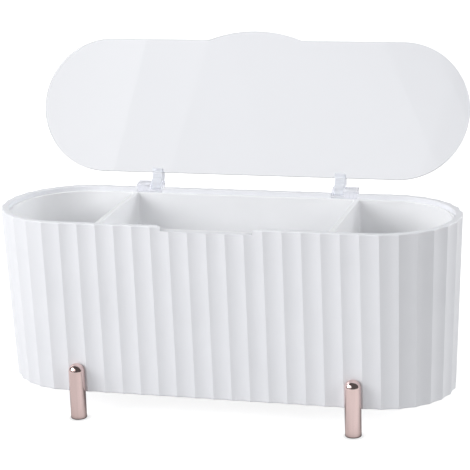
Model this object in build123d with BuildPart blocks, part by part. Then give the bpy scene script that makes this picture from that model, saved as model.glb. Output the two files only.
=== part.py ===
from build123d import *
import math
import os

os.makedirs("parts", exist_ok=True)

# ---------------------------------------------------------------- driving dimensions (mm)
length = 250.0            # over the flute crests at the rim
depth = 84.0              # over the flute crests at the rim
body_h = 93.6             # rim to underside of the shell
ground_gap = 14.0         # underside of the shell above the standing surface
draft_in = 3.7            # inward taper of the wall from rim to underside, per side
flutes = 60               # concave flutes round the wall
flute_depth = 0.8
rim_break = 0.35          # softened outer edge of the rim
foot_break = 0.5          # softened lower edge of the wall

wall_in = 4.2             # flute crest to the shell's inner face
floor_t = 2.5             # shell floor
rebate = 2.4              # lid seat below the rim
tray_gap = 0.15           # tray wall to shell wall
tray_wall = 1.6
tray_floor = 2.0
divider_x = 62.5          # divider centre from the middle
divider_top = 2.6         # thickness at the top
divider_bot = 3.4         # thickness at the tray floor
corner_r = 1.5            # upright inner corners of the compartments
cell_fillet = 1.2         # rounded floor edge of the compartments
top_break = 0.3           # softened top edges of the tray and of the shell's inner rim

lid_t = 2.0
lid_inset = 4.4           # lid edge inside the flute crests
lid_lift = 0.05           # lid underside above its seat
tab_half = 26.6           # finger tab, half width at the lid edge
tab_out = 5.0             # finger tab projection
lid_open = 111.0          # degrees, lid against its stop

notch_outer = 23.6        # finger notch half width at the outside of the rim
notch_inner = 27.4        # finger notch half width at the inside of the rim
notch_drop = 0.15         # finger notch floor below the closed lid's underside

axis_y = 43.5             # hinge axis behind the middle of the body
axis_up = 1.1             # hinge axis above the rim
pin_r = 0.75
lug_in, lug_out = 49.1, 54.5          # lug on the lid, |x|
block_in, block_out = 54.7, 62.3      # bracket block, |x|
cheek_in, cheek_out = 47.9, 48.9      # bracket cheek, |x|
knuckle_r = 3.6           # round end of the lug, about the pin
lug_under = -0.8          # underside of the lid's lug when closed, relative to the rim
eye_r = 1.65
block_top = 2.1           # bracket block above the rim
plate_top = -1.15         # bracket base plate, relative to the rim
plate_end = 40.3          # rear end of the base plate below the lug
heel_front = 41.99        # front of the lug's heel when open, against the back of the wall
heel_low = -3.3           # lower end of the heel when open, relative to the rim
rib_w = 0.7               # upright grooves in the bracket's front face
rib_d = 0.35
peg_r = 1.0
peg_l = 4.0

leg_x = 74.6
leg_y = 40.4
leg_r = 4.3
leg_straight = 26.4       # height of the straight part
leg_dome = 4.0
leg_foot = 0.6            # rounded bottom edge

screw_z = 20.4            # screw axis above the standing surface
screw_r = 1.2
screw_head_r = 2.3
screw_head_t = 1.1
screw_len = 7.6

# ---------------------------------------------------------------- derived
yb = -14.107              # middle of the body in the frame whose origin is centred under the whole object
rim = ground_gap + body_h
R = depth / 2.0
a = length / 2.0 - R
z_floor = ground_gap + floor_t
z_seat = rim - rebate


def crest(z):
    """Radius of the flute crests at height z."""
    return R - draft_in * (rim - z) / body_h


perimeter = 4.0 * a + 2.0 * math.pi * R


def on_outline(s, radius):
    """Point at arc length s (measured at rim size) on a stadium outline of the given end radius."""
    s = s % perimeter
    arc = math.pi * R
    if s <= a:
        return (s, -radius)
    s -= a
    if s <= arc:
        ang = -math.pi / 2 + s / R
        return (a + radius * math.cos(ang), radius * math.sin(ang))
    s -= arc
    if s <= 2 * a:
        return (a - s, radius)
    s -= 2 * a
    if s <= arc:
        ang = math.pi / 2 + s / R
        return (-a + radius * math.cos(ang), radius * math.sin(ang))
    s -= arc
    return (-a + s, -radius)


def fluted_edges(radius, scoop):
    """Three-point data of the concave flutes round the outline."""
    out = []
    for k in range(flutes):
        s0 = k * perimeter / flutes
        s1 = (k + 1) * perimeter / flutes
        p0 = on_outline(s0, radius)
        pm = on_outline((s0 + s1) / 2.0, radius - scoop)
        p1 = on_outline(s1, radius)
        out.append((p0, pm, p1))
    return out


def shift(p):
    return (p[0], p[1] + yb)


def tray_in(z):
    return crest(z) - wall_in - tray_gap - tray_wall


def on_outer(edge):
    """True for an edge on the tray's outer outline at its top."""
    p = edge @ 0.5
    q = Vector(max(-a, min(a, p.X)), yb, p.Z)
    return abs((p - q).length - (crest(z_seat) - wall_in - tray_gap)) < 0.05


hinge_axis = Axis((0, yb + axis_y, rim + axis_up), (1, 0, 0))

# ---------------------------------------------------------------- leg form (shared by the legs and their recesses)
def leg_profile(grow):
    """Radius, straight height, dome height and the dome arc's middle point for a leg's half section."""
    r = leg_r + grow
    dome = leg_dome + grow
    rho = (r * r + dome * dome) / (2 * dome)
    centre = leg_straight + dome - rho
    t = (math.asin((leg_straight - centre) / rho) + math.pi / 2) / 2
    return r, leg_straight, dome, (rho * math.cos(t), centre + rho * math.sin(t))


# ---------------------------------------------------------------- outer shell
with BuildPart() as outer_shell:
    # fluted wall, tapering to the underside, with softened edges at the rim and at the bottom
    for (z0, r0), (z1, r1) in (
        ((ground_gap, crest(ground_gap) - 0.4), (ground_gap + foot_break, crest(ground_gap + foot_break))),
        ((ground_gap + foot_break, crest(ground_gap + foot_break)), (rim - rim_break, crest(rim - rim_break))),
        ((rim - rim_break, crest(rim - rim_break)), (rim, crest(rim) - 0.27)),
    ):
        for z, radius in ((z0, r0), (z1, r1)):
            with BuildSketch(Plane.XY.offset(z)):
                with BuildLine():
                    for p0, pm, p1 in fluted_edges(radius, flute_depth):
                        ThreePointArc(shift(p0), shift(pm), shift(p1))
                make_face()
        loft(ruled=True)
    # cavity
    with BuildSketch(Plane.XY.offset(z_floor)):
        with Locations((0, yb)):
            SlotCenterToCenter(2 * a, 2 * (crest(z_floor) - wall_in))
    with BuildSketch(Plane.XY.offset(rim)):
        with Locations((0, yb)):
            SlotCenterToCenter(2 * a, 2 * (crest(rim) - wall_in))
    loft(ruled=True, mode=Mode.SUBTRACT)
    # softened inner edge of the rim
    with BuildSketch(Plane.XY.offset(rim - top_break)):
        with Locations((0, yb)):
            SlotCenterToCenter(2 * a, 2 * (crest(rim - top_break) - wall_in))
    with BuildSketch(Plane.XY.offset(rim)):
        with Locations((0, yb)):
            SlotCenterToCenter(2 * a, 2 * (crest(rim) - wall_in + top_break))
    loft(ruled=True, mode=Mode.SUBTRACT)
    # finger notch through the front rim
    with BuildSketch(Plane.XY.offset(rim - rebate + lid_lift - notch_drop)):
        with BuildLine():
            Polyline(
                (-notch_outer + 1.4, yb - R - 1.6), (notch_outer - 1.4, yb - R - 1.6),
                (notch_inner + 0.9, yb - R + wall_in + 1.0), (-notch_inner - 0.9, yb - R + wall_in + 1.0),
                close=True,
            )
        make_face()
    extrude(amount=rebate + 1.5, mode=Mode.SUBTRACT)
    # hinge pockets through the back rim
    for side in (-1, 1):
        with BuildSketch(Plane.XY.offset(z_seat)):
            with Locations((side * (cheek_in + block_out) / 2.0, yb + R - wall_in + 3.4)):
                Rectangle(block_out - cheek_in + 0.3, 8.8)
        extrude(amount=rebate + 1.0, mode=Mode.SUBTRACT)
    # peg holes for the hinge brackets
    with BuildSketch(Plane.XY.offset(z_seat - peg_l - 0.3)):
        with Locations((58.5, yb + 39.7), (-58.5, yb + 39.7)):
            Circle(peg_r + 0.02)
    extrude(amount=peg_l + 1.0, mode=Mode.SUBTRACT)
    # leg recesses
    lr, lh, ld, lmid = leg_profile(0.03)
    for sx in (-1, 1):
        for sy in (-1, 1):
            with BuildSketch(Plane.XZ.offset(-(yb + sy * leg_y))):
                with BuildLine():
                    Polyline((sx * leg_x, ground_gap - 1.0), (sx * leg_x + lr, ground_gap - 1.0), (sx * leg_x + lr, lh))
                    ThreePointArc((sx * leg_x + lr, lh), (sx * leg_x + lmid[0], lmid[1]), (sx * leg_x, lh + ld))
                    Line((sx * leg_x, lh + ld), (sx * leg_x, ground_gap - 1.0))
                make_face()
            revolve(axis=Axis((sx * leg_x, yb + sy * leg_y, 0), (0, 0, 1)), mode=Mode.SUBTRACT)
    # countersunk screw holes from the inside of the wall into the recesses
    face_in = crest(screw_z) - wall_in
    for sx in (-1, 1):
        for sy in (-1, 1):
            ax = Axis((sx * leg_x, yb, screw_z), (0, sy, 0))
            with BuildSketch(Plane(origin=(sx * leg_x, yb, screw_z), x_dir=(1, 0, 0), z_dir=(0, 0, 1))):
                with BuildLine():
                    Polyline(
                        (0, sy * (face_in - 1.5)),
                        (screw_head_r + 0.03, sy * (face_in - 1.5)),
                        (screw_head_r + 0.03, sy * (face_in + 0.2)),
                        (screw_r + 0.12, sy * (face_in + 0.2 + screw_head_t)),
                        (screw_r + 0.12, sy * (leg_y - 1.0)),
                        (0, sy * (leg_y - 1.0)),
                        close=True,
                    )
                make_face()
            revolve(axis=ax, mode=Mode.SUBTRACT)
outer_shell.part.label = "outer_shell"
export_step(outer_shell.part, "parts/outer_shell.step")

# ---------------------------------------------------------------- inner tray with three compartments
z_tray = z_floor + 0.02
z_cell = z_tray + tray_floor
with BuildPart() as inner_tray:
    with BuildSketch(Plane.XY.offset(z_tray)):
        with Locations((0, yb)):
            SlotCenterToCenter(2 * a, 2 * (crest(z_tray) - wall_in - tray_gap))
    with BuildSketch(Plane.XY.offset(z_seat)):
        with Locations((0, yb)):
            SlotCenterToCenter(2 * a, 2 * (crest(z_seat) - wall_in - tray_gap))
    loft(ruled=True)
    # middle compartment between the dividers
    for z, half_t in ((z_cell, divider_bot / 2), (z_seat, divider_top / 2)):
        r = tray_in(z)
        x = divider_x - half_t
        with BuildSketch(Plane.XY.offset(z)) as mid:
            with BuildLine():
                Polyline((-x, yb - r), (x, yb - r), (x, yb + r), (-x, yb + r), close=True)
            make_face()
            fillet(mid.vertices(), radius=corner_r)
    loft(ruled=True, mode=Mode.SUBTRACT)
    # round-ended compartments
    for sx in (-1, 1):
        for z, half_t in ((z_cell, divider_bot / 2), (z_seat, divider_top / 2)):
            r = tray_in(z)
            x = divider_x + half_t
            with BuildSketch(Plane.XY.offset(z)) as cell:
                with BuildLine():
                    Line((sx * x, yb + r), (sx * x, yb - r))
                    Line((sx * x, yb - r), (sx * a, yb - r))
                    ThreePointArc((sx * a, yb - r), (sx * (a + r), yb), (sx * a, yb + r))
                    Line((sx * a, yb + r), (sx * x, yb + r))
                make_face()
                corner = cell.vertices().filter_by(lambda v: abs(v.X) < a - 5)
                fillet(corner, radius=corner_r)
        loft(ruled=True, mode=Mode.SUBTRACT)
    # rounded floor edges and softened top edges of the compartments
    floor_edges = inner_tray.faces().filter_by(lambda f: abs(f.center().Z - z_cell) < 0.01 and abs(f.normal_at().Z) > 0.99).edges()
    fillet(floor_edges, radius=cell_fillet)
    top_edges = inner_tray.faces().sort_by(Axis.Z)[-1].edges()
    inner_edges = top_edges.filter_by(lambda e: (e @ 0.5 - Vector(0, yb, z_seat)).length < 400 and not on_outer(e))
    fillet(inner_edges, radius=top_break)
inner_tray.part.label = "inner_tray"
export_step(inner_tray.part, "parts/inner_tray.step")

# ---------------------------------------------------------------- clear lid with finger tab and hinge lugs
lid_r = R - lid_inset
z_lid = z_seat + lid_lift
tab_radius = (tab_half ** 2 + tab_out ** 2) / (2 * tab_out)
with BuildPart() as closed_lid:
    with BuildSketch(Plane.XY.offset(z_lid)) as outline:
        with BuildLine():
            Line((tab_half, yb - lid_r), (a, yb - lid_r))
            ThreePointArc((a, yb - lid_r), (a + lid_r, yb), (a, yb + lid_r))
            Line((a, yb + lid_r), (-a, yb + lid_r))
            ThreePointArc((-a, yb + lid_r), (-a - lid_r, yb), (-a, yb - lid_r))
            Line((-a, yb - lid_r), (-tab_half, yb - lid_r))
            ThreePointArc((-tab_half, yb - lid_r), (0, yb - lid_r - tab_out), (tab_half, yb - lid_r))
        make_face()
        blend = outline.vertices().filter_by(lambda v: abs(abs(v.X) - tab_half) < 0.01)
        fillet(blend, radius=4.0)
    extrude(amount=lid_t)
    # soften the outline's edges on both faces
    rim_edges = closed_lid.edges().filter_by(lambda e: abs(e.bounding_box().max.Z - e.bounding_box().min.Z) < 1e-6)
    fillet(rim_edges, radius=0.3)
    # lugs that carry the hinge eyes, each with a round knuckle about the pin
    drop = axis_up - lug_under
    knuckle_y = axis_y - math.sqrt(knuckle_r ** 2 - drop ** 2)
    half = (math.pi / 2 + math.asin(drop / knuckle_r)) / 2
    knuckle_mid = (axis_y - knuckle_r * math.cos(half), axis_up - knuckle_r * math.sin(half))
    for side in (-1, 1):
        x0 = lug_in if side > 0 else -lug_out
        with BuildSketch(Plane(origin=(x0, yb, rim), x_dir=(0, 1, 0), z_dir=(1, 0, 0))):
            with BuildLine():
                Polyline(
                    (lid_r - 2.3, -rebate + lid_lift + 0.6),
                    (lid_r - 2.3, 1.6),
                    (lid_r - 0.6, axis_up + knuckle_r - 0.5),
                    (lid_r + 0.6, axis_up + knuckle_r),
                    (axis_y, axis_up + knuckle_r),
                )
                ThreePointArc((axis_y, axis_up + knuckle_r), (axis_y + knuckle_r, axis_up), (axis_y, axis_up - knuckle_r))
                ThreePointArc((axis_y, axis_up - knuckle_r), knuckle_mid, (knuckle_y, lug_under))
                Polyline(
                    (knuckle_y, lug_under),
                    (lid_r - 0.05, lug_under),
                    (lid_r - 0.05, -rebate + lid_lift + 0.6),
                    (lid_r - 2.3, -rebate + lid_lift + 0.6),
                )
            make_face()
        extrude(amount=lug_out - lug_in)
    # heel below each knuckle, standing against the back of the wall when the lid is open
    for side in (-1, 1):
        x0 = lug_in if side > 0 else -lug_out
        t = math.radians(-lid_open)
        heel = []
        for y, z in ((heel_front, -1.0), (heel_front, heel_low), (axis_y + 1.0, heel_low), (axis_y + 2.6, -1.0), (axis_y, 0.0)):
            dy, dz = y - axis_y, z - axis_up
            cy = axis_y + dy * math.cos(t) + dz * math.sin(t)
            cz = axis_up - dy * math.sin(t) + dz * math.cos(t)
            heel.append((cy, cz))
        with BuildSketch(Plane(origin=(x0, yb, rim), x_dir=(0, 1, 0), z_dir=(1, 0, 0))):
            with BuildLine():
                Polyline(*heel, close=True)
            make_face()
        extrude(amount=lug_out - lug_in)
    # hinge eyes, with running clearance on the pins
    for side in (-1, 1):
        x0 = lug_in if side > 0 else -lug_out
        with BuildSketch(Plane(origin=(x0 - 0.5, yb, rim), x_dir=(0, 1, 0), z_dir=(1, 0, 0))):
            with Locations((axis_y, axis_up)):
                Circle(pin_r + 0.06)
        extrude(amount=lug_out - lug_in + 1.0, mode=Mode.SUBTRACT)
with BuildPart() as lid:
    # the lid stands open against its stop
    add(closed_lid.part.rotate(hinge_axis, -lid_open))
lid.part.label = "lid"
export_step(lid.part, "parts/lid.step")

# ---------------------------------------------------------------- hinge brackets
with BuildPart() as hinge_bracket_right:
    # base plate below the lug
    with BuildSketch(Plane.XY.offset(z_seat)):
        with Locations(((cheek_in + block_out) / 2, yb + (R - wall_in + plate_end) / 2)):
            Rectangle(block_out - cheek_in, plate_end - (R - wall_in))
    extrude(amount=plate_top + rebate)
    # thick block with the rounded pin eye
    with BuildSketch(Plane(origin=(block_in, yb, rim), x_dir=(0, 1, 0), z_dir=(1, 0, 0))):
        with BuildLine():
            Polyline(
                (R - wall_in, -rebate), (R - wall_in, block_top - 0.5), (R - wall_in + 0.5, block_top),
                (axis_y - 1.2, block_top + 0.25), (axis_y, axis_up + eye_r),
            )
            ThreePointArc((axis_y, axis_up + eye_r), (axis_y + eye_r, axis_up), (axis_y, axis_up - eye_r))
            Polyline((axis_y, axis_up - eye_r), (axis_y - 1.0, -rebate), (R - wall_in, -rebate))
        make_face()
    extrude(amount=block_out - block_in)
    # upright grooves in the block's front face
    with BuildSketch(Plane.XY.offset(z_seat)):
        with Locations(*[(x, yb + R - wall_in) for x in (56.4, 58.5, 60.6)]):
            Rectangle(rib_w, 2 * rib_d)
    extrude(amount=rebate + block_top - 1.1, mode=Mode.SUBTRACT)
    # thin inboard cheek
    with BuildSketch(Plane(origin=(cheek_in, yb, rim), x_dir=(0, 1, 0), z_dir=(1, 0, 0))):
        with BuildLine():
            Polyline(
                (R - wall_in, -rebate), (R - wall_in, plate_top), (axis_y - 1.5, axis_up + 1.0), (axis_y, axis_up + eye_r),
            )
            ThreePointArc((axis_y, axis_up + eye_r), (axis_y + eye_r, axis_up), (axis_y, axis_up - eye_r))
            Polyline((axis_y, axis_up - eye_r), (axis_y - 1.0, -rebate), (R - wall_in, -rebate))
        make_face()
    extrude(amount=cheek_out - cheek_in)
    # locating peg
    with BuildSketch(Plane.XY.offset(z_seat - peg_l)):
        with Locations((58.5, yb + 39.7)):
            Circle(peg_r)
    extrude(amount=peg_l + 0.2)
    # pin hole, blind in the block
    with BuildSketch(Plane(origin=(cheek_in - 0.5, yb, rim), x_dir=(0, 1, 0), z_dir=(1, 0, 0))):
        with Locations((axis_y, axis_up)):
            Circle(pin_r)
    extrude(amount=block_out - 1.2 - cheek_in + 0.5, mode=Mode.SUBTRACT)
hinge_bracket_right.part.label = "hinge_bracket_right"
export_step(hinge_bracket_right.part, "parts/hinge_bracket_right.step")

with BuildPart() as hinge_bracket_left:
    add(mirror(hinge_bracket_right.part, about=Plane.YZ, mode=Mode.PRIVATE))
hinge_bracket_left.part.label = "hinge_bracket_left"
export_step(hinge_bracket_left.part, "parts/hinge_bracket_left.step")

# ---------------------------------------------------------------- hinge pins
with BuildPart() as hinge_pin_right:
    with BuildSketch(Plane(origin=(cheek_in + 0.1, yb, rim), x_dir=(0, 1, 0), z_dir=(1, 0, 0))):
        with Locations((axis_y, axis_up)):
            Circle(pin_r)
    extrude(amount=block_out - 1.3 - cheek_in - 0.1)
    chamfer(hinge_pin_right.edges(), length=0.15)
hinge_pin_right.part.label = "hinge_pin_right"
export_step(hinge_pin_right.part, "parts/hinge_pin_right.step")

with BuildPart() as hinge_pin_left:
    add(mirror(hinge_pin_right.part, about=Plane.YZ, mode=Mode.PRIVATE))
hinge_pin_left.part.label = "hinge_pin_left"
export_step(hinge_pin_left.part, "parts/hinge_pin_left.step")

# ---------------------------------------------------------------- legs
leg_names = {
    (-1, -1): "leg_front_left", (1, -1): "leg_front_right",
    (-1, 1): "leg_rear_left", (1, 1): "leg_rear_right",
}
dr, dh, dd, dmid = leg_profile(0.0)
for (sx, sy), leg_name in leg_names.items():
    with BuildPart() as leg:
        with BuildSketch(Plane.XZ.offset(-(yb + sy * leg_y))):
            with BuildLine():
                Line((sx * leg_x, 0), (sx * leg_x + leg_r - leg_foot, 0))
                ThreePointArc(
                    (sx * leg_x + leg_r - leg_foot, 0),
                    (sx * leg_x + leg_r - 0.293 * leg_foot, 0.293 * leg_foot),
                    (sx * leg_x + leg_r, leg_foot),
                )
                Line((sx * leg_x + leg_r, leg_foot), (sx * leg_x + leg_r, leg_straight))
                ThreePointArc(
                    (sx * leg_x + leg_r, leg_straight), (sx * leg_x + dmid[0], dmid[1]), (sx * leg_x, leg_straight + leg_dome)
                )
                Line((sx * leg_x, leg_straight + leg_dome), (sx * leg_x, 0))
            make_face()
        revolve(axis=Axis((sx * leg_x, yb + sy * leg_y, 0), (0, 0, 1)))
        # blind screw hole in the back
        hole_from = leg_y - leg_r - 1.0
        hole_to = crest(screw_z) - wall_in + 0.2 + screw_len + 0.3
        with BuildSketch(Plane(origin=(sx * leg_x, yb + sy * hole_from, screw_z), x_dir=(1, 0, 0), z_dir=(0, sy, 0))):
            Circle(screw_r)
        extrude(amount=hole_to - hole_from, mode=Mode.SUBTRACT)
    leg.part.label = leg_name
    export_step(leg.part, "parts/" + leg_name + ".step")

# ---------------------------------------------------------------- leg screws, one group of identical fasteners
with BuildPart() as leg_screws:
    face_in = crest(screw_z) - wall_in + 0.2
    for sx in (-1, 1):
        for sy in (-1, 1):
            with BuildSketch(Plane(origin=(sx * leg_x, yb, screw_z), x_dir=(1, 0, 0), z_dir=(0, 0, 1))):
                with BuildLine():
                    Polyline(
                        (0, sy * face_in),
                        (screw_head_r, sy * face_in),
                        (screw_r, sy * (face_in + screw_head_t)),
                        (screw_r, sy * (face_in + screw_len - 1.0)),
                        (0, sy * (face_in + screw_len)),
                        close=True,
                    )
                make_face()
            revolve(axis=Axis((sx * leg_x, yb, screw_z), (0, sy, 0)))
            # cross recess in the head
            with BuildSketch(Plane(origin=(sx * leg_x, yb + sy * (face_in - 0.1), screw_z), x_dir=(1, 0, 0), z_dir=(0, sy, 0))):
                Rectangle(2.2, 0.5)
                Rectangle(0.5, 2.2)
            extrude(amount=0.8, mode=Mode.SUBTRACT)
leg_screws.part.label = "leg_screws"
export_step(leg_screws.part, "parts/leg_screws.step")
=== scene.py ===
import math

import bpy
from mathutils import Matrix, Vector

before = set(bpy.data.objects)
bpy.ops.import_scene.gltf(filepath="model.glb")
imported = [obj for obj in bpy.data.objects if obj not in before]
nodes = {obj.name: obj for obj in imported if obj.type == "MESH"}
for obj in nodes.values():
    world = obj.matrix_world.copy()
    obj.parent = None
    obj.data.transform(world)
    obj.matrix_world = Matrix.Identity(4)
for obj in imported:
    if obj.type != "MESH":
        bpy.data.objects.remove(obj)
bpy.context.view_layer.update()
scene = bpy.context.scene


# ------------------------------------------------------------------ node helpers
def new_material(name):
    mat = bpy.data.materials.new(name)
    mat.use_nodes = True
    nt = mat.node_tree
    nt.nodes.clear()
    out = nt.nodes.new("ShaderNodeOutputMaterial")
    bsdf = nt.nodes.new("ShaderNodeBsdfPrincipled")
    nt.links.new(bsdf.outputs["BSDF"], out.inputs["Surface"])
    return mat, nt, bsdf, out


def obj_coords(nt, scale=(1.0, 1.0, 1.0)):
    tc = nt.nodes.new("ShaderNodeTexCoord")
    mp = nt.nodes.new("ShaderNodeMapping")
    mp.inputs["Scale"].default_value = scale
    nt.links.new(tc.outputs["Object"], mp.inputs["Vector"])
    return mp.outputs["Vector"]


def noise(nt, vec, scale, detail=2.0, rough=0.5):
    n = nt.nodes.new("ShaderNodeTexNoise")
    n.inputs["Scale"].default_value = scale
    n.inputs["Detail"].default_value = detail
    n.inputs["Roughness"].default_value = rough
    nt.links.new(vec, n.inputs["Vector"])
    return n.outputs["Fac"]


def ramp(nt, fac, stops):
    r = nt.nodes.new("ShaderNodeValToRGB")
    el = r.color_ramp.elements
    while len(el) < len(stops):
        el.new(0.5)
    for e, (pos, col) in zip(el, stops):
        e.position = pos
        e.color = (*col, 1.0)
    nt.links.new(fac, r.inputs["Fac"])
    return r.outputs["Color"]


def remap(nt, fac, lo, hi, a=0.3, b=0.7):
    m = nt.nodes.new("ShaderNodeMapRange")
    m.inputs["From Min"].default_value = a
    m.inputs["From Max"].default_value = b
    m.inputs["To Min"].default_value = lo
    m.inputs["To Max"].default_value = hi
    nt.links.new(fac, m.inputs["Value"])
    return m.outputs["Result"]


def bump(nt, height, strength, distance, normal=None):
    b = nt.nodes.new("ShaderNodeBump")
    b.inputs["Strength"].default_value = strength
    b.inputs["Distance"].default_value = distance
    nt.links.new(height, b.inputs["Height"])
    if normal is not None:
        nt.links.new(normal, b.inputs["Normal"])
    return b.outputs["Normal"]


def math_node(nt, op, a, b=None):
    m = nt.nodes.new("ShaderNodeMath")
    m.operation = op
    for socket, value in zip(m.inputs, (a, b)):
        if value is None:
            continue
        if isinstance(value, (int, float)):
            socket.default_value = value
        else:
            nt.links.new(value, socket)
    return m.outputs[0]


def blend_colour(nt, fac, a, b):
    """a where fac is 0 and b where it is 1."""
    m = nt.nodes.new("ShaderNodeMix")
    m.data_type = "RGBA"
    nt.links.new(fac, m.inputs["Factor"])
    nt.links.new(a, m.inputs["A"])
    nt.links.new(b, m.inputs["B"])
    return m.outputs["Result"]


def lug_mask(nt):
    """1 in the lid's two thick hinge lugs and 0 in its plate: with a hard edge, and fading towards the plate.

    The third result is 1 in the neck above the knuckle, and the fourth is 1 where the lug meets the plate.
    """
    tc = nt.nodes.new("ShaderNodeTexCoord")
    sep = nt.nodes.new("ShaderNodeSeparateXYZ")
    nt.links.new(tc.outputs["Object"], sep.inputs["Vector"])
    across = math_node(nt, "ABSOLUTE", math_node(nt, "SUBTRACT", math_node(nt, "ABSOLUTE", sep.outputs["X"]), 0.0518))
    dy = math_node(nt, "SUBTRACT", sep.outputs["Y"], 0.029393)
    dz = math_node(nt, "SUBTRACT", sep.outputs["Z"], 0.1087)
    away = math_node(nt, "SQRT", math_node(nt, "ADD", math_node(nt, "MULTIPLY", dy, dy), math_node(nt, "MULTIPLY", dz, dz)))
    neck = math_node(nt, "MULTIPLY", remap(nt, sep.outputs["Z"], 0.0, 1.0, 0.1072, 0.1112), remap(nt, away, 1.0, 0.0, 0.0056, 0.0064))
    root = remap(nt, away, 0.0, 1.0, 0.0045, 0.0060)
    inside = math_node(nt, "LESS_THAN", across, 0.0029)
    whole = math_node(nt, "MULTIPLY", inside, math_node(nt, "LESS_THAN", away, 0.0092))
    fading = math_node(nt, "MULTIPLY", inside, remap(nt, away, 1.0, 0.0, 0.0062, 0.0092))
    return whole, fading, neck, root


# ------------------------------------------------------------------ materials
def white_plastic(name, light, dark, rough):
    """Satin moulded white plastic: faint mottling, a fine moulded grain and slow sink-mark waviness."""
    mat, nt, bsdf, out = new_material(name)
    vec = obj_coords(nt)
    cloud = noise(nt, vec, 38.0, 4.0, 0.55)
    nt.links.new(ramp(nt, cloud, [(0.32, dark), (0.68, light)]), bsdf.inputs["Base Color"])
    patch = noise(nt, vec, 70.0, 3.0, 0.6)
    nt.links.new(remap(nt, patch, rough - 0.05, rough + 0.06), bsdf.inputs["Roughness"])
    grain = noise(nt, vec, 2600.0, 2.0, 0.5)
    wave = noise(nt, vec, 55.0, 2.0, 0.5)
    n1 = bump(nt, wave, 0.25, 0.0004)
    n2 = bump(nt, grain, 0.10, 0.00006, n1)
    nt.links.new(n2, bsdf.inputs["Normal"])
    bsdf.inputs["IOR"].default_value = 1.5
    bsdf.inputs["Coat Weight"].default_value = 0.15
    bsdf.inputs["Coat Roughness"].default_value = 0.12
    return mat


def clear_plastic(name, tint, dark_tint, rough, clarity=1.0, lugs=False, ior=1.49):
    """Clear moulded plastic, slightly tinted, with faint flow lines; lamps shine through it.

    clarity below 1 is milky plastic. With lugs, the lid's thick lugs are milky, with painted light and shade in their
    tone, and its plate is clear.
    """
    mat, nt, bsdf, out = new_material(name)
    vec = obj_coords(nt)
    cloud = noise(nt, obj_coords(nt, (1.0, 1.0, 1.6)), 14.0, 3.0, 0.5)
    colour = ramp(nt, cloud, [(0.3, dark_tint), (0.7, tint)])
    haze = noise(nt, vec, 60.0, 4.0, 0.6)
    gloss = remap(nt, haze, rough * 0.6, rough * 1.5)
    bsdf.inputs["Transmission Weight"].default_value = clarity
    if lugs:
        whole, mask, neck, root = lug_mask(nt)
        # painted light and shade: the milky lug is painted darker at the neck above the knuckle, lightest round the
        # knuckle and a little less light where it meets the plate, standing in for light scattered through the plastic
        # and lifting the shade between knuckle and plate
        neck_painted_shade = ramp(nt, cloud, [(0.3, (0.70, 0.715, 0.76)), (0.7, (0.73, 0.745, 0.79))])
        thick = ramp(nt, cloud, [(0.3, (0.93, 0.94, 0.975)), (0.7, (0.95, 0.96, 0.99))])
        foot = ramp(nt, cloud, [(0.3, (0.90, 0.91, 0.935)), (0.7, (0.92, 0.93, 0.955))])
        milk_with_painted_light = blend_colour(nt, neck, blend_colour(nt, root, thick, foot), neck_painted_shade)
        colour = blend_colour(nt, mask, colour, milk_with_painted_light)
        gloss = math_node(nt, "ADD", gloss, math_node(nt, "MULTIPLY", whole, 0.28))
        nt.links.new(remap(nt, mask, clarity, 0.45, 0.0, 1.0), bsdf.inputs["Transmission Weight"])
    nt.links.new(colour, bsdf.inputs["Base Color"])
    nt.links.new(gloss, bsdf.inputs["Roughness"])
    wave = noise(nt, vec, 24.0, 2.0, 0.5)
    nt.links.new(bump(nt, wave, 0.05, 0.0002), bsdf.inputs["Normal"])
    bsdf.inputs["IOR"].default_value = ior
    clear = nt.nodes.new("ShaderNodeBsdfTransparent")
    clear.inputs["Color"].default_value = (0.90, 0.91, 0.92, 1.0)
    path = nt.nodes.new("ShaderNodeLightPath")
    # painted glow: past ray depth 9 the plastic gives off an even glow instead of shading, standing in for light caught
    # between the faces that has come in all round the edge, so it ends bright, not black
    deep_ray_glow = nt.nodes.new("ShaderNodeEmission")
    deep_ray_glow.inputs["Color"].default_value = (0.90, 0.92, 0.94, 1.0)
    deep_ray_glow.inputs["Strength"].default_value = 0.85
    body = nt.nodes.new("ShaderNodeMixShader")
    nt.links.new(math_node(nt, "GREATER_THAN", path.outputs["Ray Depth"], 9.5), body.inputs["Fac"])
    nt.links.new(bsdf.outputs["BSDF"], body.inputs[1])
    nt.links.new(deep_ray_glow.outputs["Emission"], body.inputs[2])
    mat.cycles.emission_sampling = "NONE"
    mix = nt.nodes.new("ShaderNodeMixShader")
    nt.links.new(path.outputs["Is Shadow Ray"], mix.inputs["Fac"])
    nt.links.new(body.outputs["Shader"], mix.inputs[1])
    nt.links.new(clear.outputs["BSDF"], mix.inputs[2])
    nt.links.new(mix.outputs["Shader"], out.inputs["Surface"])
    return mat


def plated(name, light, dark, rough):
    """Mirror plating: tone drift in broad streaks along the leg, fine polishing lines and a softer handled haze."""
    mat, nt, bsdf, out = new_material(name)
    vec = obj_coords(nt)
    streaks = noise(nt, obj_coords(nt, (230.0, 230.0, 9.0)), 1.0, 2.0, 0.45)
    nt.links.new(ramp(nt, streaks, [(0.38, dark), (0.62, light)]), bsdf.inputs["Base Color"])
    haze = noise(nt, vec, 420.0, 4.0, 0.65)
    nt.links.new(remap(nt, haze, rough * 0.7, rough * 1.4), bsdf.inputs["Roughness"])
    lines = noise(nt, obj_coords(nt, (2600.0, 2600.0, 60.0)), 1.0, 2.0, 0.5)
    nt.links.new(bump(nt, lines, 0.06, 0.00003), bsdf.inputs["Normal"])
    bsdf.inputs["Metallic"].default_value = 1.0
    return mat


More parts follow.
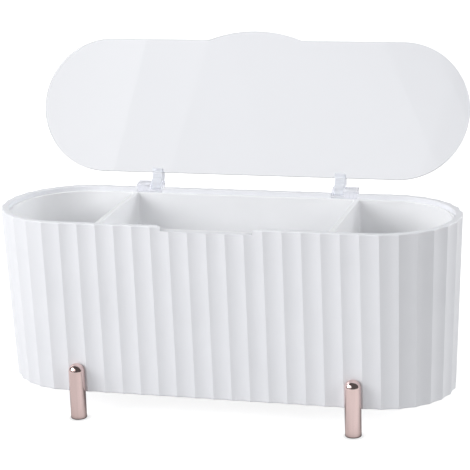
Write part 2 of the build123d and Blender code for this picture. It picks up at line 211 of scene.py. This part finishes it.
def steel(name, rough):
    mat, nt, bsdf, out = new_material(name)
    vec = obj_coords(nt)
    tone = noise(nt, vec, 500.0, 3.0, 0.5)
    nt.links.new(ramp(nt, tone, [(0.3, (0.42, 0.42, 0.43)), (0.7, (0.62, 0.62, 0.63))]), bsdf.inputs["Base Color"])
    nt.links.new(remap(nt, noise(nt, vec, 900.0, 3.0, 0.6), rough * 0.8, rough * 1.3), bsdf.inputs["Roughness"])
    lines = noise(nt, obj_coords(nt, (120.0, 4000.0, 4000.0)), 1.0, 2.0, 0.5)
    nt.links.new(bump(nt, lines, 0.15, 0.00003), bsdf.inputs["Normal"])
    bsdf.inputs["Metallic"].default_value = 1.0
    return mat


shell_mat = white_plastic("shell_white", (0.852, 0.862, 0.90), (0.832, 0.842, 0.88), 0.34)
# the tray is a lighter, less blue white than the shell: partly its own colour, and partly painted light, kept light to
# lift the shade in its deep compartments
tray_mat = white_plastic("tray_white", (0.905, 0.912, 0.93), (0.89, 0.897, 0.915), 0.38)
lid_mat = clear_plastic("lid_clear", (0.836, 0.846, 0.881), (0.832, 0.842, 0.877), 0.02, lugs=True)
hinge_mat = clear_plastic("hinge_clear", (0.905, 0.91, 0.955), (0.87, 0.875, 0.925), 0.20, clarity=0.35)
rose_mat = plated("rose_gold_plating", (0.93, 0.725, 0.70), (0.76, 0.585, 0.56), 0.10)
pin_mat = steel("pin_steel", 0.28)
screw_mat = steel("screw_steel", 0.34)

finish = {
    "outer_shell": shell_mat,
    "inner_tray": tray_mat,
    "lid": lid_mat,
    "hinge_bracket_left": hinge_mat,
    "hinge_bracket_right": hinge_mat,
    "hinge_pin_left": pin_mat,
    "hinge_pin_right": pin_mat,
    "leg_front_left": rose_mat,
    "leg_front_right": rose_mat,
    "leg_rear_left": rose_mat,
    "leg_rear_right": rose_mat,
    "leg_screws": screw_mat,
}
for name, mat in finish.items():
    for slot in nodes[name].material_slots:
        slot.material = mat

# ------------------------------------------------------------------ floor
mesh = bpy.data.meshes.new("floor")
s = 14.0
mesh.from_pydata([(-s, -s, 0), (s, -s, 0), (s, s, 0), (-s, s, 0)], [], [(0, 1, 2, 3)])
floor = bpy.data.objects.new("floor", mesh)
floor.location = (0, 0, -0.0002)
scene.collection.objects.link(floor)
fmat, nt, bsdf, out = new_material("floor_white")
bsdf.inputs["Roughness"].default_value = 0.9
bsdf.inputs["Specular IOR Level"].default_value = 0.0
bsdf.inputs["Emission Color"].default_value = (1, 1, 1, 1)
# the backdrop is overexposed to the camera and through the clear lid, and lights the product only a little;
# the part of it that shows in mirrors fades under the box and round the feet, painted shade in the reflections
path = nt.nodes.new("ShaderNodeLightPath")
tc = nt.nodes.new("ShaderNodeTexCoord")
sep = nt.nodes.new("ShaderNodeSeparateXYZ")
nt.links.new(tc.outputs["Object"], sep.inputs["Vector"])
ax = math_node(nt, "ABSOLUTE", sep.outputs["X"])
cy = math_node(nt, "ADD", sep.outputs["Y"], 0.014107)
fx = math_node(nt, "SUBTRACT", ax, 0.0746)
fy = math_node(nt, "SUBTRACT", math_node(nt, "ABSOLUTE", cy), 0.0404)
foot = math_node(nt, "SQRT", math_node(nt, "ADD", math_node(nt, "MULTIPLY", fx, fx), math_node(nt, "MULTIPLY", fy, fy)))
ex = math_node(nt, "MAXIMUM", math_node(nt, "SUBTRACT", ax, 0.083), 0.0)
under = math_node(nt, "SQRT", math_node(nt, "ADD", math_node(nt, "MULTIPLY", ex, ex), math_node(nt, "MULTIPLY", cy, cy)))
mirrored_shade = math_node(nt, "MULTIPLY", remap(nt, foot, 0.0, 1.0, 0.0046, 0.0110), remap(nt, under, 0.25, 1.0, 0.026, 0.058))
# painted shadow: the floor's own colour goes from near black at each foot to its plain pale grey a few millimetres out,
# a painted contact shadow
painted_foot_shadow = remap(nt, foot, 0.0, 1.0, 0.0046, 0.0078)
nt.links.new(ramp(nt, painted_foot_shadow, [(0.0, (0.02, 0.02, 0.02)), (1.0, (0.55, 0.55, 0.55))]), bsdf.inputs["Base Color"])
mirrored = math_node(nt, "MULTIPLY", math_node(nt, "MULTIPLY", path.outputs["Is Glossy Ray"], mirrored_shade), 0.25)
level = math_node(nt, "MULTIPLY", path.outputs["Is Camera Ray"], 0.83)
# behind the box the backdrop's glow through the lid evens out the lamp's fall-off,
# and to the right, away from the lamp, it is stronger
gx = math_node(nt, "MAXIMUM", math_node(nt, "MINIMUM", sep.outputs["X"], 0.05), -0.5)
gy = math_node(nt, "SUBTRACT", math_node(nt, "MAXIMUM", math_node(nt, "MINIMUM", sep.outputs["Y"], 1.15), 0.5), 0.8)
along = math_node(nt, "ADD", math_node(nt, "ADD", math_node(nt, "MULTIPLY", gx, -0.912), math_node(nt, "MULTIPLY", gy, -0.7216)), -0.2933)
away = math_node(nt, "ADD", math_node(nt, "MULTIPLY", gy, -0.1707), -0.0457)
glow = math_node(nt, "ADD", math_node(nt, "ADD", math_node(nt, "MULTIPLY", gx, along), math_node(nt, "MULTIPLY", gy, away)), 0.2335)
glow = math_node(nt, "ADD", glow, remap(nt, sep.outputs["X"], 0.0, 0.30, 0.06, 0.45))
level = math_node(nt, "ADD", level, math_node(nt, "MULTIPLY", path.outputs["Is Transmission Ray"], glow))
nt.links.new(math_node(nt, "ADD", level, mirrored), bsdf.inputs["Emission Strength"])
mesh.materials.append(fmat)

# ------------------------------------------------------------------ studio light
world = bpy.data.worlds.new("studio")
scene.world = world
world.use_nodes = True
world.node_tree.nodes["Background"].inputs["Color"].default_value = (1, 1, 1, 1)
wt = world.node_tree
sky = wt.nodes["Background"].inputs["Strength"]
# what the clear parts show at their edges is bright, and what mirrors show is a dark room
# with a pale backdrop rising a little above the horizon behind the box
room = wt.nodes.new("ShaderNodeLightPath")
tc = wt.nodes.new("ShaderNodeTexCoord")
sep = wt.nodes.new("ShaderNodeSeparateXYZ")
wt.links.new(tc.outputs["Generated"], sep.inputs["Vector"])
rise = remap(wt, sep.outputs["Z"], 0.80, 0.0, 0.04, 0.34)
behind = remap(wt, sep.outputs["Y"], 0.0, 1.0, 0.0, 0.35)
mirrored = math_node(wt, "ADD", math_node(wt, "MULTIPLY", rise, behind), 0.10)
plain = remap(wt, room.outputs["Is Transmission Ray"], 0.22, 0.75, 0.0, 1.0)
gloss = room.outputs["Is Glossy Ray"]
level = math_node(wt, "ADD", math_node(wt, "MULTIPLY", gloss, mirrored),
                  math_node(wt, "MULTIPLY", math_node(wt, "SUBTRACT", 1.0, gloss), plain))
wt.links.new(level, sky)


def area(name, place, target, size, power, size_y=None, color=(1, 1, 1)):
    data = bpy.data.lights.new(name, "AREA")
    data.energy = power
    data.color = color
    data.shape = "RECTANGLE"
    data.size = size
    data.size_y = size_y or size
    ob = bpy.data.objects.new(name, data)
    ob.location = place
    ob.rotation_euler = (Vector(target) - Vector(place)).to_track_quat("-Z", "Y").to_euler()
    scene.collection.objects.link(ob)
    return ob


def sun(name, direction, strength, angle, glossy=True):
    data = bpy.data.lights.new(name, "SUN")
    data.energy = strength
    data.angle = math.radians(angle)
    ob = bpy.data.objects.new(name, data)
    ob.rotation_euler = Vector(direction).to_track_quat("-Z", "Y").to_euler()
    ob.visible_glossy = glossy
    scene.collection.objects.link(ob)
    return ob


def strip(name, top, low, strength):
    """Soft panel mirrored in the lid: its right edge runs from top to low, and it reaches 0.8 m to the left."""
    top, low = Vector(top), Vector(low)
    away = Vector((-0.2489, -0.8365, 0.4882))
    y = (top - low).normalized()
    x = y.cross(away).normalized()
    z = x.cross(y)
    data = bpy.data.lights.new(name, "AREA")
    data.shape = "RECTANGLE"
    data.size = 0.8
    data.size_y = 0.7
    data.energy = strength * math.pi * data.size * data.size_y
    ob = bpy.data.objects.new(name, data)
    side = x if x.x < 0 else -x
    ob.matrix_world = Matrix.Translation((top + low) / 2 + side * 0.4) @ Matrix((x, y, z)).transposed().to_4x4()
    ob.visible_diffuse = False
    ob.visible_transmission = False
    scene.collection.objects.link(ob)
    return ob


sun("over", (0, 0, -1), 0.58, 60, glossy=False)
sun("left_wide", (1.0, 0.25, -0.6), 0.14, 60, glossy=False)
sun("front_left", (0.7, 0.7, -0.6), 0.52, 60, glossy=False)
sun("front_left_low", (0.7, 0.7, -0.25), 0.16, 60, glossy=False)
sun("front_right", (-0.803, 0.464, -0.375), 0.73, 24, glossy=False)
sun("back_left", (0.760, -0.532, -0.375), 0.20, 24)
sun("back_right", (-0.710, -0.596, -0.375), 0.92, 24)
sun("back_right_low", (-0.759, -0.637, -0.139), 0.32, 24, glossy=False)
left_box = area("left_box", (-1.1, -0.75, 0.75), (0, 0, 0.06), 0.9, 12.2, 0.9)
# the lid has a lamp of its own in the same place, which it doesn't mirror: the image would hide it from some sides
lid_box = area("lid_box", (-1.1, -0.75, 0.75), (0, 0, 0.06), 0.9, 13.8, 0.9)
lid_box.visible_glossy = False
lid_box.visible_transmission = False
for lamp, state in ((left_box, "EXCLUDE"), (lid_box, "INCLUDE")):
    lit = bpy.data.collections.new(lamp.name + "_lights")
    lit.objects.link(nodes["lid"])
    lit.collection_objects[0].light_linking.link_state = state
    lamp.light_linking.receiver_collection = lit
strip("band_1", (-0.4801, -1.0448, 0.9103), (-0.5306, -1.1454, 0.7122), 0.95)
strip("band_2", (-0.4010, -1.0615, 0.9220), (-0.4598, -1.1603, 0.7227), 0.50)
strip("fade_1", (-0.2003, -1.1039, 0.9517), (-0.1027, -1.2355, 0.7759), 0.51)
strip("fade_2", (-0.1377, -1.1171, 0.9609), (-0.0397, -1.2488, 0.7853), 0.60)

# ------------------------------------------------------------------ camera
az, el, roll = 0.2716, 0.2675, -0.0335
dist, f_px = 0.98714, 1861.96
target = Vector((0.0038786, -0.014107, 0.093113))
back = Vector((math.sin(az) * math.cos(el), -math.cos(az) * math.cos(el), math.sin(el)))
right = Vector((math.cos(az), math.sin(az), 0.0))
up = back.cross(right)
c, s = math.cos(roll), math.sin(roll)
cam_x = c * right + s * up
cam_y = -s * right + c * up
cam_data = bpy.data.cameras.new("camera")
cam_data.sensor_fit = "HORIZONTAL"
cam_data.sensor_width = 36.0
cam_data.lens = f_px / 470.0 * 36.0
cam_data.clip_start = 0.01
cam_data.clip_end = 60.0
cam = bpy.data.objects.new("camera", cam_data)
place = target + back * dist
rot = Matrix((cam_x, cam_y, back)).transposed().to_4x4()
cam.matrix_world = Matrix.Translation(place) @ rot
scene.collection.objects.link(cam)
scene.camera = cam

scene.view_settings.view_transform = "Standard"
scene.view_settings.look = "None"
scene.view_settings.exposure = 0.0
scene.view_settings.gamma = 1.0
scene.cycles.max_bounces = 24
scene.cycles.glossy_bounces = 20
scene.cycles.transmission_bounces = 20
scene.cycles.transparent_max_bounces = 16
